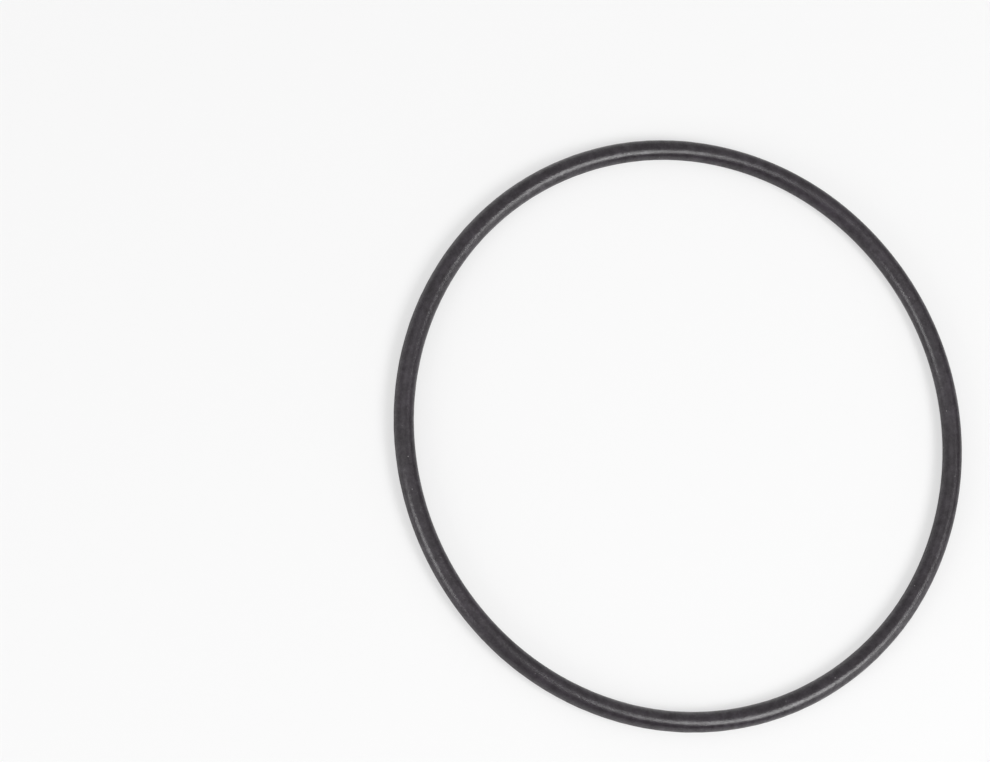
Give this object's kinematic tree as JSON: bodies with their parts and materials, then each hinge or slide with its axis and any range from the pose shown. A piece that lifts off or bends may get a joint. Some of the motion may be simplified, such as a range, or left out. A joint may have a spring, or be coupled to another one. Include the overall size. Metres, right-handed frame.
{
  "type": "rubber o-ring",
  "caption": "Round sealing ring of black rubber with a round cord section and a fine moulding line inside and outside.",
  "frame": {"origin": "centre of the ring, half way up its section, on the mould's parting plane", "axes": "+Z along the ring's axis, out of the hole; the ring lies flat in the XY plane and looks the same turned about Z"},
  "size_m": [0.1072, 0.1072, 0.0036],
  "materials": {
    "black_rubber": "satin, as moulded"
  },
  "bodies": {
    "root": {"o_ring": "black_rubber"}
  },
  "joints": []
}
